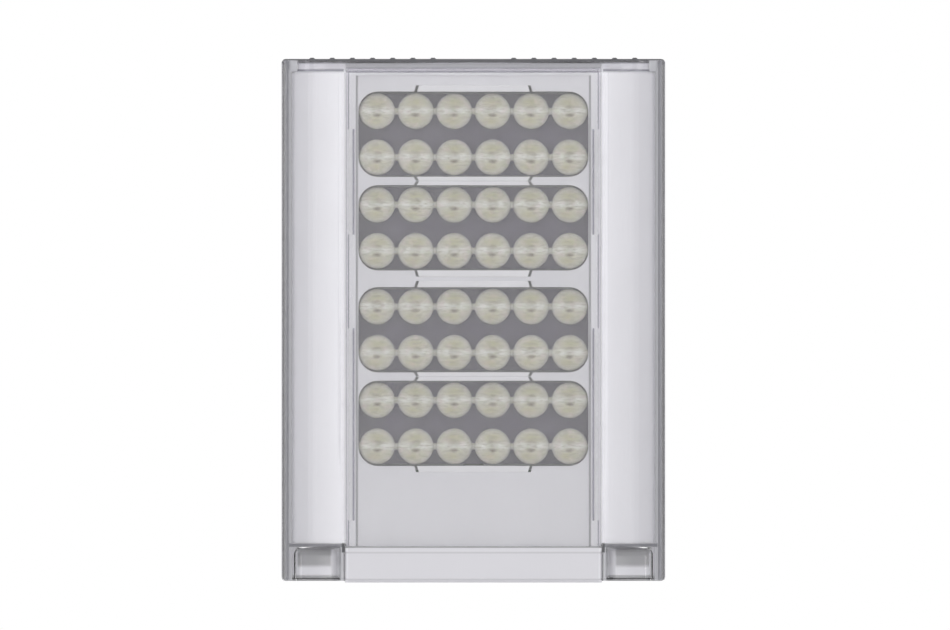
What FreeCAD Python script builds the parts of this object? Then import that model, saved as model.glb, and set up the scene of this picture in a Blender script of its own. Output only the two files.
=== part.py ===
import FreeCAD, Part
import math
import os
from FreeCAD import Vector

# LED wall light: a cast, finned rear housing carries four boards of twelve LEDs with a moulded
# collimator on each, behind a painted bezel and a clear front cover. A clear insert with a grip
# bar slides out of the cover downwards, and a folded wall bracket holds the lamp on a tilt bolt.
#
# Millimetres. X is across the front, Z is up, and Y runs from the front (negative) to the wall.
# The origin is on the wall, behind the middle of the lamp. "Depth" is measured back from the
# foremost ridges of the cover.

overlap = 1.0                # joined solids run this much into each other, cutting ones past

# Optics, boards and windows
columns = 6
lens_diameter = 21.6
lens_spacing = 1.44          # between two lenses of a row
row_spacing = 6.0            # between the two rows of a window
lens_foot_diameter = 7.0
lens_height = 12.6
lens_flats = 16
lens_gap = 0.9               # air between the bezel's back and the lens faces
led_side = 7.0
led_height = 1.0
window_margin = 0.2          # from the outer lenses to the window's ends
window_margin_high = 0.75    # from the lenses to its upper and lower edge
window_corner_margin = 0.7   # from the lens in the corner to the window's round corner
window_bridge = 5.3          # height of the bezel between the two windows of a pair
pair_bridge = 10.3           # and between the pairs
plain_above = 12.65          # height of the plain bezel above and below the windows
plain_below = 48.25
pane_thickness = 1.2
pane_recess = 0.1
pane_play = 0.2
lug_foot_width = 69.0
lug_tip_width = 66.0
lug_height = 3.9
lug_height_inner = 2.5       # where two windows of a pair face each other
board_margin = 6.4           # the boards reach this much past the windows at each end
board_gap = 7.0              # between two boards of a pair
board_thickness = 1.6
pad_thickness = 0.4
pad_inset = 2.0

# Insert, its rails and its bar
insert_margin = 5.6          # the insert reaches this much past the windows at each side
insert_thickness = 2.3
insert_clearance = 0.3
insert_top_gap = 1.0
rail_depth = 1.2
rail_play = 0.8
rail_width = 3.2
rail_lip_thickness = 1.5
rail_lip_reach = 3.7
rail_lip_shares = ((0.0545, 0.4585), (0.6553, 0.8767))   # of the height between bar and band
bar_overhang = 2.6           # the bar is this much wider than the insert at each end
bar_drop = 1.1               # and reaches this much below the cover
bar_height = 21.5
bar_bevel = 2.4              # depth of the slope along the bar's upper edge
bar_bevel_height = 3.6
bar_edge = 1.8               # bevel of its lower edge and its ends

# Cover
cover_wall = 2.5
cover_inset = 0.6            # the housing's edge shows this much round the cover
cover_top_inset = 1.0
cover_top_bow = 1.5          # the cover's top edge dips this much at the middle
ridge_land = 1.2             # width of the slope from the rail up to the wing's ridge
wing_width = 30.8
wing_fall = 7.2              # the wing lies this much deeper at its outer edge
wing_bulge = 1.6             # and rises this much above the straight line between its edges
side_fall = 9.6
side_slant = 2.2
cover_lip_width = 2.0
top_band = 6.4               # height of the sloping band along the top
top_band_depth = 8.5         # depth of the band's upper edge at the middle
top_band_fall = 2.0          # and so much more at the outer edge of the wings
top_wall = 3.0

# Finger pockets in the cover's lower corners
pocket_height = 21.7
pocket_margin = 0.6          # from the ridge and from the wing's outer edge
pocket_depth = 10.0
pocket_draft = 4.5           # each wall leans this much over the depth

# Bezel
bezel_gap = 0.6
bezel_wall = 1.9
bezel_top_gap = 1.0
pocket_bezel_gap = 0.8
tray_margin = 1.0            # the tray reaches this much past the windows at each side
tray_step = 0.9

# Driver electronics, between the lowest window and the bezel's lower end
driver_margin = 1.4          # the board reaches this much past the windows at each end
driver_gap_above = 2.75
driver_gap_below = 1.0
driver_rail = 2.4            # height of the rails that the board lies on
driver_rail_width = 4.0
component_height = 10.5      # of the tallest component
capacitor_radius = 6.0

# Driver components: middle across and up the board, width, height and depth, as shares of the
# board's width and height and of the tallest component
components = {
    "transformer": (-0.16, 0.05, 0.186, 0.63, 1.0),
    "input_terminal": (-0.41, 0.1, 0.1, 0.26, 0.86),
    "output_connector": (0.43, 0.3, 0.086, 0.18, 0.57),
    "filter_choke": (0.34, -0.1, 0.086, 0.32, 0.76),
    "input_fuse": (-0.39, -0.3, 0.13, 0.13, 0.48),
}
transistor_places = (0.06, 0.16, 0.26)
transistor = (-0.33, 0.07, 0.21, 0.43)
capacitor_place = (0.13, 0.16)
capacitor_share = 0.17

# Housing
outline_corner = 2.5
cavity_depth = 5.0
cavity_side_wall = 9.8
cavity_top_wall = 14.0
cavity_bottom_wall = 8.8
base_thickness = 5.5
base_inset = 6.5
base_corner = 5.0
gasket_thickness = 1.0
gasket_side_width = 4.4
gasket_top_width = 3.2

# Tilt joint and wall bracket
pivot_to_wall = 68.0
pivot_fin_gap = 3.0          # between the fin tips and the round ends of the bracket's ears
pivot_end_radius = 12.0
pivot_radius = 4.0
pivot_play = 0.08
joint_gap = 0.3
lug_plate = 6.0
lug_root_half = 34.0
lug_web = 26.0
ear_outer_half = 20.0
ear_thickness = 3.0
ear_root_half = 24.0
fold_radius = 4.5
strip_end = 15.0             # of the strip beyond its wall holes
strip_corner = 8.0
wall_hole_radius = 4.25
wall_hole_spacing = 120.0
bolt_head = 5.3
bolt_head_flats = 13.0
nut_height = 8.0
bolt_tail = 2.0

# Fins
fins_per_side = 7
fin_ear_gap = 2.5            # between the bracket's ears and the fins beside the channel
fin_margin = 11.7            # from the outermost fin's middle to the base's edge
fin_root = 3.4
fin_tip = 2.2
fin_depth = 43.5             # of the fins beside the channel
fin_depth_outer = 33.0
fin_end_depth = 15.0
fin_taper = 46.0             # length of the slope at a fin's ends
fin_rise = 0.8               # the fins stand this much above the top edge
fin_foot_gap = 8.0
fin_root_sink = 8.0          # the fins start this deep inside the base and the edge
fin_corner = 0.7

# Cable gland
gland_height = -92.0
gland_thread_radius = 8.0
thread_play = 0.1
gland_hex_flats = 20.0
gland_hex = 5.0
gland_nut_length = 17.0
gland_nut_flats = 19.0
gland_bore_radius = 4.6
cable_radius = 4.0
seal_radius = 7.6
seal_recess = 1.5

# Depths, from the front backwards
insert_front = rail_depth + rail_lip_thickness + insert_clearance
insert_back = insert_front + insert_thickness
channel_floor = insert_back + insert_clearance
cover_floor_back = channel_floor + cover_wall
plateau_front = cover_floor_back + bezel_gap
tray_front = plateau_front + tray_step
tray_back = tray_front + bezel_wall
pane_front = tray_front + pane_recess
pane_back = pane_front + pane_thickness
lens_front = tray_back + lens_gap
lens_back = lens_front + lens_height
board_front = lens_back + led_height
board_back = board_front + board_thickness
floor_front = board_back + pad_thickness
driver_back = floor_front - driver_rail
driver_front = driver_back - board_thickness
flange_front = floor_front - cavity_depth
flange_back = flange_front + cavity_depth
base_back = floor_front + base_thickness
fin_tips = base_back + fin_depth
cover_back = flange_front - gasket_thickness
side_top = wing_fall + side_fall
pivot_depth = fin_tips + pivot_fin_gap + pivot_end_radius
wall_depth = pivot_depth + pivot_to_wall
gland_shoulder = base_back + gland_hex
gland_end = gland_shoulder + gland_nut_length
front_plane = -wall_depth

# Half widths, from the middle outwards
column_pitch = lens_diameter + lens_spacing
window_width = (columns - 1) * column_pitch + lens_diameter + 2 * window_margin
board_width = window_width + 2 * board_margin
driver_width = window_width + 2 * driver_margin
tray_half = window_width / 2 + tray_margin
insert_half = window_width / 2 + insert_margin
bar_half = insert_half + bar_overhang
channel_half = insert_half + rail_play
ridge_half = channel_half + rail_width + ridge_land
wing_half = ridge_half + wing_width
lip_half = wing_half + side_slant
cover_half = lip_half + cover_lip_width
half_width = cover_half + cover_inset
inner_wall = channel_half + cover_wall
inner_ridge = ridge_half + bezel_gap / 2
inner_wing = wing_half - cover_wall
inner_side = lip_half - cover_wall
cavity_half = half_width - cavity_side_wall
first_fin = ear_outer_half + fin_ear_gap + fin_root / 2
fin_pitch = (half_width - base_inset - fin_margin - first_fin) / (fins_per_side - 1)

# Heights, with the middle of the front at zero
row_pitch = lens_diameter + row_spacing
window_height = row_pitch + lens_diameter + 2 * window_margin_high
window_corner = lens_diameter / 2 + window_corner_margin
board_height = window_height + window_bridge - board_gap
panel_height = plain_above + 4 * window_height + 2 * window_bridge + pair_bridge + plain_below
half_height = (cover_top_inset + top_band + panel_height + bar_height - bar_drop + cover_inset) / 2
cover_bottom = -half_height + cover_inset
cover_top = half_height - cover_top_inset
band_bottom = cover_top - top_band
insert_top = band_bottom - insert_top_gap
bezel_top = band_bottom - bezel_top_gap
bar_bottom = cover_bottom - bar_drop
bar_top = bar_bottom + bar_height
pocket_top = cover_bottom + pocket_height
bezel_bottom = pocket_top + pocket_bezel_gap + cover_wall
cavity_top = half_height - cavity_top_wall
cavity_bottom = -half_height + cavity_bottom_wall
window_heights = []
window_edge = band_bottom - plain_above
for bridge in (window_bridge, pair_bridge, window_bridge, 0.0):
    window_heights.append(window_edge - window_height / 2)
    window_edge -= window_height + bridge
driver_top = window_edge - driver_gap_above
driver_bottom = bezel_bottom + bezel_wall + driver_gap_below
driver_height = driver_top - driver_bottom
driver_middle = (driver_top + driver_bottom) / 2


def y_at(depth):
    return front_plane + depth


def point(x, depth, z=0.0):
    return Vector(x, y_at(depth), z)


def block(x0, x1, depth0, depth1, z0, z1):
    """A box between two corners."""
    return Part.makeBox(x1 - x0, depth1 - depth0, z1 - z0, point(x0, depth0, z0))


def along_y(solid):
    """The edges of a box that run from front to back."""
    return [edge for edge in solid.Edges if edge.BoundBox.YLength > edge.BoundBox.DiagonalLength / 2]


def both_sides(solid):
    """The solid and its mirror image across the middle."""
    return solid.fuse(solid.mirror(Vector(0, 0, 0), Vector(1, 0, 0)))


def cylinder(radius, x, z, depth0, depth1):
    """A round bar along Y."""
    return Part.makeCylinder(radius, depth1 - depth0, point(x, depth0, z), Vector(0, 1, 0))


def prism(wire, way):
    return Part.Face(wire).extrude(way)


def outline(half, back, z):
    """A symmetric closed outline at height z. half is its front from the middle to one side, as
    corners (x, depth) or arcs (x, depth of the middle, x, depth of the end). back is the depth
    that closes it."""
    edges = []
    for side in (1, -1):
        here = half[0]
        for step in half[1:]:
            start, end = point(side * here[0], here[1], z), point(side * step[-2], step[-1], z)
            if len(step) == 4:
                middle = point(side * step[0], step[1], z)
                edges.append(Part.Arc(start, middle, end).toShape())
            else:
                edges.append(Part.makeLine(start, end))
            here = step[-2:]
        edges.append(Part.makeLine(point(side * here[0], here[1], z), point(0, back, z)))
    return Part.Wire(Part.__sortEdges__(edges))


def symmetric_prism(half, back, z0, z1):
    return prism(outline(half, back, z0), Vector(0, 0, z1 - z0)).removeSplitter()


def symmetric_loft(half0, half1, back, z0, z1):
    """A solid with straight sides between two outlines at different heights."""
    return Part.makeLoft([outline(half0, back, z0), outline(half1, back, z1)], True, True)


def rounded_plate(width, height, corner, depth0, depth1, x=0.0, z=0.0):
    """A flat plate facing forwards, with rounded corners."""
    plate = block(x - width / 2, x + width / 2, depth0, depth1, z - height / 2, z + height / 2)
    return plate.makeFillet(corner, along_y(plate))


def yz_prism(points, x0, x1):
    """A prism along X of corners (depth, z)."""
    wire = Part.makePolygon([point(x0, d, z) for d, z in points + points[:1]])
    return prism(wire, Vector(x1 - x0, 0, 0))


def hexagon(flats, centre, way, height):
    """A hexagonal prism: flats is its size across flats."""
    corner = flats / math.sqrt(3)
    turn = FreeCAD.Rotation(Vector(0, 0, 1), way)
    corners = [
        centre + turn.multVec(Vector(corner * math.cos(a), corner * math.sin(a), 0))
        for a in (math.radians(60 * k) for k in range(7))
    ]
    return prism(Part.makePolygon(corners), Vector(way).normalize() * height)


def wing_arc(half0, depth0, half1, depth1):
    """The convex arc of a wing's face, as a step of a half outline."""
    middle_half, middle_depth = (half0 + half1) / 2, (depth0 + depth1) / 2
    return (middle_half, middle_depth - wing_bulge, half1, depth1)


def tapered(front, back):
    """A solid with flat faces between two outlines that have as many corners."""
    outlines = [front, back]
    outlines += [[front[k - 1], front[k], back[k], back[k - 1]] for k in range(len(front))]
    faces = [Part.Face(Part.makePolygon(corners + corners[:1])) for corners in outlines]
    return Part.makeSolid(Part.makeShell(faces))


def pocket(offset):
    """The right finger pocket's hollow, open in front and below, grown by an offset. Its two sides
    and its top lean inwards with depth."""
    outlines = []
    start = -overlap
    for depth in (start, pocket_depth + offset):
        lean = pocket_draft * (depth - start) / pocket_depth
        inner = ridge_half + pocket_margin - offset + lean
        outer = wing_half - pocket_margin + offset - lean
        low, top = cover_bottom - overlap, pocket_top + offset - lean
        outlines.append([point(inner, depth, low), point(outer, depth, low),
                         point(outer, depth, top), point(inner, depth, top)])
    return tapered(*outlines)


def lug_heights(index):
    """Heights of a window's upper and lower lug: the lugs that face each other are shorter."""
    upper_of_pair = index % 2 == 0
    return (lug_height, lug_height_inner) if upper_of_pair else (lug_height_inner, lug_height)


def lugs(index, play, depth0, depth1):
    """A window's two wedge-shaped lugs, grown by a play."""
    solids = []
    z = window_heights[index]
    for side, height in zip((1, -1), lug_heights(index)):
        foot = z + side * (window_height / 2 - overlap)
        tip = z + side * (window_height / 2 + height + play)
        foot_half, tip_half = lug_foot_width / 2 + play, lug_tip_width / 2 + play
        corners = [(-foot_half, foot), (foot_half, foot), (tip_half, tip), (-tip_half, tip)]
        wire = Part.makePolygon([point(x, depth0, h) for x, h in corners + corners[:1]])
        solids.append(prism(wire, Vector(0, depth1 - depth0, 0)))
    return solids


def make_pane(index):
    z = window_heights[index]
    plate = rounded_plate(window_width, window_height, window_corner, pane_front, pane_back, 0.0, z)
    return plate.fuse(lugs(index, 0.0, pane_front, pane_back)).removeSplitter()


def cover_outline():
    """The cover's front from its middle to its side, below the band along the top."""
    return [
        (0, channel_floor),
        (channel_half, channel_floor),
        (channel_half, rail_depth),
        (ridge_half - ridge_land, rail_depth),
        (ridge_half, 0),
        wing_arc(ridge_half, 0, wing_half, wing_fall),
        (lip_half, side_top),
        (cover_half, side_top),
        (cover_half, cover_back),
    ]


def band_outline(ridge, wing):
    """The cover's front across the band, with the given depths at the ridge and the wing's edge."""
    ledge = max(ridge, rail_depth)
    return [
        (0, ledge),
        (ridge_half - ridge_land, ledge),
        (ridge_half, ridge),
        wing_arc(ridge_half, ridge, wing_half, wing),
        (lip_half, side_top),
        (cover_half, side_top),
        (cover_half, cover_back),
    ]


def hollow_outline(front, ridge, wing):
    """The cover's inside from its middle to its side."""
    return [
        (0, cover_floor_back),
        (inner_wall, cover_floor_back),
        (inner_wall, front),
        (inner_ridge, ridge),
        wing_arc(inner_ridge, ridge, inner_wing, wing),
        (inner_side, side_top + cover_wall / 2),
        (inner_side, cover_back + overlap),
    ]


def make_front_cover():
    outer = symmetric_prism(cover_outline(), cover_back, cover_bottom, band_bottom)
    band = symmetric_loft(
        band_outline(0.0, wing_fall), band_outline(top_band_depth, top_band_depth + top_band_fall),
        cover_back, band_bottom, cover_top,
    )
    outer = outer.fuse(band).cut(both_sides(pocket(0.0)))
    low = (rail_depth + cover_wall, cover_wall, wing_fall + cover_wall)
    moved = top_band_depth * (1 - top_wall / top_band)
    high = (low[0] + moved / 2, low[1] + moved, low[2] + moved * top_band_fall / top_band_depth)
    back, floor = cover_back + overlap, cover_bottom + cover_wall
    hollow = symmetric_prism(hollow_outline(*low), back, floor, band_bottom)
    top_hollow = symmetric_loft(
        hollow_outline(*low), hollow_outline(*high), back, band_bottom, cover_top - top_wall
    )
    hollow = hollow.fuse(top_hollow).cut(both_sides(pocket(cover_wall)))
    slot_half = bar_half + insert_clearance
    bar_slot = block(
        -slot_half, slot_half, -overlap, channel_floor,
        cover_bottom - overlap, bar_top + insert_clearance,
    )
    cover = outer.cut(hollow).cut(bar_slot)
    for low_share, high_share in rail_lip_shares:
        lip = block(
            channel_half - rail_lip_reach, channel_half, rail_depth, rail_depth + rail_lip_thickness,
            bar_top + low_share * panel_height, bar_top + high_share * panel_height,
        )
        cover = cover.fuse(both_sides(lip))
    return cover.cut(bowed_top(0, cover_back)).removeSplitter()


def bowed_top(front, back):
    """What is cut away above the shallow arc along the top of the cover and of its gasket."""
    start = point(-half_width, front - overlap, cover_top)
    middle = point(0, front - overlap, cover_top - cover_top_bow)
    end = point(half_width, front - overlap, cover_top)
    lid = Part.Wire([Part.Arc(start, middle, end).toShape(), Part.makeLine(end, start)])
    return prism(lid, Vector(0, back - front + 2 * overlap, 0))


def make_lens_insert():
    panel = block(
        -insert_half, insert_half, insert_front, insert_back, bar_top - bar_bevel, insert_top
    )
    bar = yz_prism(
        [
            (bar_edge, bar_bottom),
            (0, bar_bottom + bar_edge),
            (0, bar_top - bar_bevel_height),
            (bar_bevel, bar_top),
            (insert_back, bar_top),
            (insert_back, bar_bottom),
        ],
        -bar_half,
        bar_half,
    )
    half = [(-bar_half, insert_back), (-bar_half, bar_edge), (-bar_half + bar_edge, 0)]
    ends = [point(x, depth, bar_bottom) for x, depth in half]
    ends += [point(-x, depth, bar_bottom) for x, depth in reversed(half)]
    bar = bar.common(prism(Part.makePolygon(ends + ends[:1]), Vector(0, 0, bar_height)))
    return panel.fuse(bar).removeSplitter()


def bezel_outline(offset):
    """The bezel's front from its middle to its side, or the same an offset behind it."""
    wing_edge = inner_wing - bezel_gap
    side = inner_side - bezel_gap
    wall = inner_wall + bezel_gap
    ridge_depth = cover_wall + bezel_gap
    ridge = inner_ridge + bezel_gap / 2
    tray_edge = tray_half - min(offset, tray_step)
    wing_step = wing_arc(
        ridge + offset, ridge_depth + offset, wing_edge - offset, wing_fall + ridge_depth + offset
    )
    return [
        (0, tray_front + offset),
        (tray_edge, tray_front + offset),
        (tray_edge, plateau_front + offset),
        (wall + offset, plateau_front + offset),
        (wall + offset, ridge_depth + rail_depth + offset),
        (ridge + offset, ridge_depth + offset),
        wing_step,
        (side - offset, side_top),
        (side - offset, flange_front),
    ]


def make_front_bezel():
    shell = symmetric_prism(bezel_outline(0.0), flange_front, bezel_bottom, bezel_top)
    inside = symmetric_prism(
        bezel_outline(bezel_wall), flange_front, bezel_bottom + bezel_wall, bezel_top - bezel_wall
    )
    apron_half = inner_wall - bezel_gap
    apron_bottom = cover_bottom + cover_wall + bezel_gap
    apron = block(
        -apron_half, apron_half, plateau_front, plateau_front + bezel_wall,
        apron_bottom, bezel_bottom + bezel_wall,
    )
    tray = block(-tray_half, tray_half, plateau_front, tray_front, bar_top, bezel_top - bezel_wall)
    bezel = shell.cut(inside).fuse(apron).cut(tray)
    width, height = window_width + 2 * pane_play, window_height + 2 * pane_play
    corner = window_corner + pane_play
    front, back = tray_front - overlap, tray_back + overlap
    for index, z in enumerate(window_heights):
        opening = rounded_plate(width, height, corner, front, back, 0.0, z)
        seats = lugs(index, pane_play, front, pane_back)
        bezel = bezel.cut([opening] + seats)
    return bezel.removeSplitter()


def lens_places():
    """(x, z) of every LED, window by window."""
    for middle in window_heights:
        yield [
            ((column - (columns - 1) / 2) * column_pitch, middle + side * row_pitch / 2)
            for side in (1, -1)
            for column in range(columns)
        ]


def make_lens(x, z):
    """A many-sided collimator, wide in front and narrow where it stands on its LED."""
    turns = [2 * math.pi * k / lens_flats for k in range(lens_flats)]
    front, foot = (
        [point(x + radius * math.cos(t), depth, z + radius * math.sin(t)) for t in turns]
        for radius, depth in ((lens_diameter / 2, lens_front), (lens_foot_diameter / 2, lens_back))
    )
    return tapered(front, foot)


def make_led(x, z):
    half = led_side / 2
    return block(x - half, x + half, lens_back, board_front, z - half, z + half)


def make_board(z):
    half_w, half_h = board_width / 2, board_height / 2
    return block(-half_w, half_w, board_front, board_back, z - half_h, z + half_h)


def make_pad(z):
    half_w, half_h = board_width / 2 - pad_inset, board_height / 2 - pad_inset
    return block(-half_w, half_w, board_back, floor_front, z - half_h, z + half_h)


def make_gasket():
    ring = block(-cover_half, cover_half, cover_back, flange_front, -cover_top, cover_top)
    side, end = cover_half - gasket_side_width, cover_top - gasket_top_width
    ring = ring.cut(block(-side, side, cover_back - overlap, flange_front + overlap, -end, end))
    return ring.cut(bowed_top(cover_back, flange_front))


def fin_reach(x):
    """Depth of the fin at x: the fins get shorter from the channel to the sides, along an arc."""
    share = (x - first_fin) / ((fins_per_side - 1) * fin_pitch)
    return fin_depth - (fin_depth - fin_depth_outer) * share ** 2


def make_fin(x):
    """One fin with drafted faces, both its ends sloping and the corners of its upper end cut."""
    tip = base_back + fin_reach(x)
    root, foot = base_back - fin_root_sink, -half_height + fin_foot_gap
    top = half_height + fin_rise
    half_root, half_tip = fin_root / 2, fin_tip / 2
    corners = [(x - half_root, root), (x + half_root, root), (x + half_tip, tip), (x - half_tip, tip)]
    wire = Part.makePolygon([point(across, depth, foot) for across, depth in corners + corners[:1]])
    fin = prism(wire, Vector(0, 0, top - foot))
    end, past_tip = base_back + fin_end_depth, tip + overlap
    for side, limit in ((1, top), (-1, -foot)):
        start, past = side * (limit - fin_taper), side * (limit + overlap)
        slope = [(past_tip, start), (tip, start), (end, side * limit), (end, past), (past_tip, past)]
        fin = fin.cut(yz_prism(slope, x - fin_root, x + fin_root))
    top_face = max(fin.Faces, key=lambda face: face.CenterOfMass.z)
    crest = [edge for edge in top_face.Edges if edge.BoundBox.YLength > edge.BoundBox.XLength]
    return fin.makeChamfer(fin_corner, crest)


def pivot_arm(half_root, root_depth, x0, x1):
    """A tapered arm with a round end about the tilt axis, between two planes across X."""
    length = abs(root_depth - pivot_depth)
    lean = math.atan2(half_root, length) - math.asin(pivot_end_radius / math.hypot(length, half_root))
    toward = 1 if root_depth > pivot_depth else -1
    touch_depth = pivot_depth - toward * pivot_end_radius * math.sin(lean)
    touch_z = pivot_end_radius * math.cos(lean)
    upper, lower = point(x0, touch_depth, touch_z), point(x0, touch_depth, -touch_z)
    nose = point(x0, pivot_depth - toward * pivot_end_radius, 0)
    root_up, root_down = point(x0, root_depth, half_root), point(x0, root_depth, -half_root)
    wire = Part.Wire([
        Part.makeLine(root_down, root_up),
        Part.makeLine(root_up, upper),
        Part.Arc(upper, nose, lower).toShape(),
        Part.makeLine(lower, root_down),
    ])
    return prism(wire, Vector(x1 - x0, 0, 0))


def pivot_bore(radius, x0, x1):
    return Part.makeCylinder(radius, x1 - x0, point(x0, pivot_depth, 0), Vector(1, 0, 0))


def make_yoke():
    """The two lugs behind the housing that hold the tilt bolt, and the web between them."""
    outer = ear_outer_half - ear_thickness - joint_gap
    root = base_back - base_thickness / 2
    lug = pivot_arm(lug_root_half, root, outer - lug_plate, outer)
    web = block(-outer, outer, root, base_back + lug_web, -lug_plate / 2, lug_plate / 2)
    yoke = both_sides(lug).fuse(web)
    return yoke.cut(pivot_bore(pivot_radius + pivot_play, -half_width, half_width))


def make_driver_rail(side):
    z = driver_middle + side * (driver_height - driver_rail_width) / 2
    half, half_rail = driver_width / 2, driver_rail_width / 2
    return block(-half, half, driver_back, floor_front + overlap, z - half_rail, z + half_rail)


def make_rear_housing():
    edge = rounded_plate(2 * half_width, 2 * half_height, outline_corner, flange_front, flange_back)
    base_half_width, base_half_height = half_width - base_inset, half_height - base_inset
    base = rounded_plate(
        2 * base_half_width, 2 * base_half_height, base_corner, flange_back, base_back
    )
    fins = [both_sides(make_fin(first_fin + k * fin_pitch)) for k in range(fins_per_side)]
    body = edge.fuse([base, make_yoke()] + fins)
    cavity = block(
        -cavity_half, cavity_half, flange_front - overlap, floor_front, cavity_bottom, cavity_top
    )
    body = body.cut(cavity).fuse([make_driver_rail(-1), make_driver_rail(1)])
    return body.cut(gland_round(gland_thread_radius, driver_back, base_back + overlap)).removeSplitter()


def make_driver_board():
    half = driver_width / 2
    z0, z1 = driver_middle - driver_height / 2, driver_middle + driver_height / 2
    return block(-half, half, driver_front, driver_back, z0, z1)


def on_driver(across, up, width, height, depth):
    """A boxed component on the driver board, placed and sized by its shares."""
    x, z = across * driver_width, driver_middle + up * driver_height
    half_w, half_h = width * driver_width / 2, height * driver_height / 2
    top = driver_front - depth * component_height
    return block(x - half_w, x + half_w, top, driver_front, z - half_h, z + half_h)


def make_transistors():
    up, width, height, depth = transistor
    return [on_driver(across, up, width, height, depth) for across in transistor_places]


def make_capacitor():
    """A can that lies on the driver board along X."""
    across, up = capacitor_place
    length = capacitor_share * driver_width
    start = point(
        across * driver_width - length / 2, driver_front - capacitor_radius,
        driver_middle + up * driver_height,
    )
    return Part.makeCylinder(capacitor_radius, length, start, Vector(1, 0, 0))


def make_wall_bracket():
    """A folded strip: a flat back on the wall and two ears that hold the tilt bolt."""
    outer, inner = ear_outer_half, ear_outer_half - ear_thickness
    front, back = wall_depth - ear_thickness, wall_depth + overlap
    strip_half = wall_hole_spacing / 2 + strip_end
    strip = block(-outer, outer, front, wall_depth, -strip_half, strip_half)
    strip = strip.makeChamfer(strip_corner, along_y(strip))
    fold_zone = block(
        outer - fold_radius, outer + overlap, front - overlap, back, -ear_root_half, ear_root_half
    )
    ear = pivot_arm(ear_root_half, wall_depth - fold_radius, inner, outer)
    bracket = strip.cut(both_sides(fold_zone)).fuse(both_sides(ear.fuse(make_fold())))
    holes = [
        cylinder(wall_hole_radius, 0, side * wall_hole_spacing / 2, front - overlap, back)
        for side in (1, -1)
    ]
    holes.append(pivot_bore(pivot_radius + pivot_play, -outer - overlap, outer + overlap))
    return bracket.cut(holes).removeSplitter()


def make_fold():
    """The quarter round that joins the strip to an ear."""
    start = Vector(ear_outer_half - fold_radius, y_at(wall_depth - fold_radius), -ear_root_half)
    bend = Part.makeCylinder(fold_radius, 2 * ear_root_half, start, Vector(0, 0, 1), 90)
    inside = fold_radius - ear_thickness
    return bend.cut(Part.makeCylinder(inside, 2 * ear_root_half, start, Vector(0, 0, 1), 90))


def make_bolt():
    head = hexagon(bolt_head_flats, point(-ear_outer_half, pivot_depth), Vector(-1, 0, 0), bolt_head)
    return head.fuse(pivot_bore(pivot_radius, -ear_outer_half, ear_outer_half + nut_height + bolt_tail))


def make_nut():
    nut = hexagon(bolt_head_flats, point(ear_outer_half, pivot_depth), Vector(1, 0, 0), nut_height)
    back = ear_outer_half + nut_height + overlap
    return nut.cut(pivot_bore(pivot_radius + pivot_play, ear_outer_half - overlap, back))


def gland_round(radius, depth0, depth1):
    return cylinder(radius, 0, gland_height, depth0, depth1)


def make_gland_body():
    thread = gland_round(gland_thread_radius - thread_play, floor_front, base_back)
    collar = hexagon(gland_hex_flats, point(0, base_back, gland_height), Vector(0, 1, 0), gland_hex)
    bore = gland_round(gland_bore_radius, floor_front - overlap, gland_shoulder + overlap)
    return thread.fuse(collar).cut(bore)


def make_gland_nut():
    nut = hexagon(
        gland_nut_flats, point(0, gland_shoulder, gland_height), Vector(0, 1, 0), gland_nut_length
    )
    bore = gland_round(seal_radius + thread_play, gland_shoulder - overlap, gland_end + overlap)
    return nut.cut(bore)


def make_gland_seal():
    sleeve = gland_round(seal_radius, gland_shoulder, gland_end - seal_recess)
    return sleeve.cut(gland_round(cable_radius, gland_shoulder - overlap, gland_end))


def make_all():
    """Every piece by its node name. A list stands for a group of separate solids."""
    pieces = {
        "wall_bracket": make_wall_bracket(),
        "pivot_bolt": make_bolt(),
        "pivot_nut": make_nut(),
        "rear_housing": make_rear_housing(),
        "cover_gasket": make_gasket(),
        "front_cover": make_front_cover(),
        "front_bezel": make_front_bezel(),
        "lens_insert": make_lens_insert(),
        "gland_body": make_gland_body(),
        "gland_nut": make_gland_nut(),
        "gland_seal": make_gland_seal(),
        "driver_board": make_driver_board(),
        "power_transistors": make_transistors(),
        "smoothing_capacitor": make_capacitor(),
    }
    for name, shares in components.items():
        pieces[name] = on_driver(*shares)
    panes, lenses = [], []
    for index, places in enumerate(lens_places()):
        z = window_heights[index]
        label = str(index + 1)
        panes.append(make_pane(index))
        pieces["led_board_" + label] = make_board(z)
        pieces["thermal_pad_" + label] = make_pad(z)
        pieces["led_packages_" + label] = [make_led(*place) for place in places]
        lenses += [make_lens(*place) for place in places]
    pieces["window_panes"] = panes
    pieces["collimator_lenses"] = lenses
    return pieces


def main():
    os.makedirs("parts", exist_ok=True)
    for name, piece in make_all().items():
        shape = Part.makeCompound(piece) if isinstance(piece, list) else piece
        shape.exportStep(f"parts/{name}.step")


main()
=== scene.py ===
"""The looks of a clear-fronted LED wall light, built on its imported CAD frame."""

import math

import bmesh
import bpy
from bpy.props import FloatProperty, FloatVectorProperty, PointerProperty
from mathutils import Matrix, Vector


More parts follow.
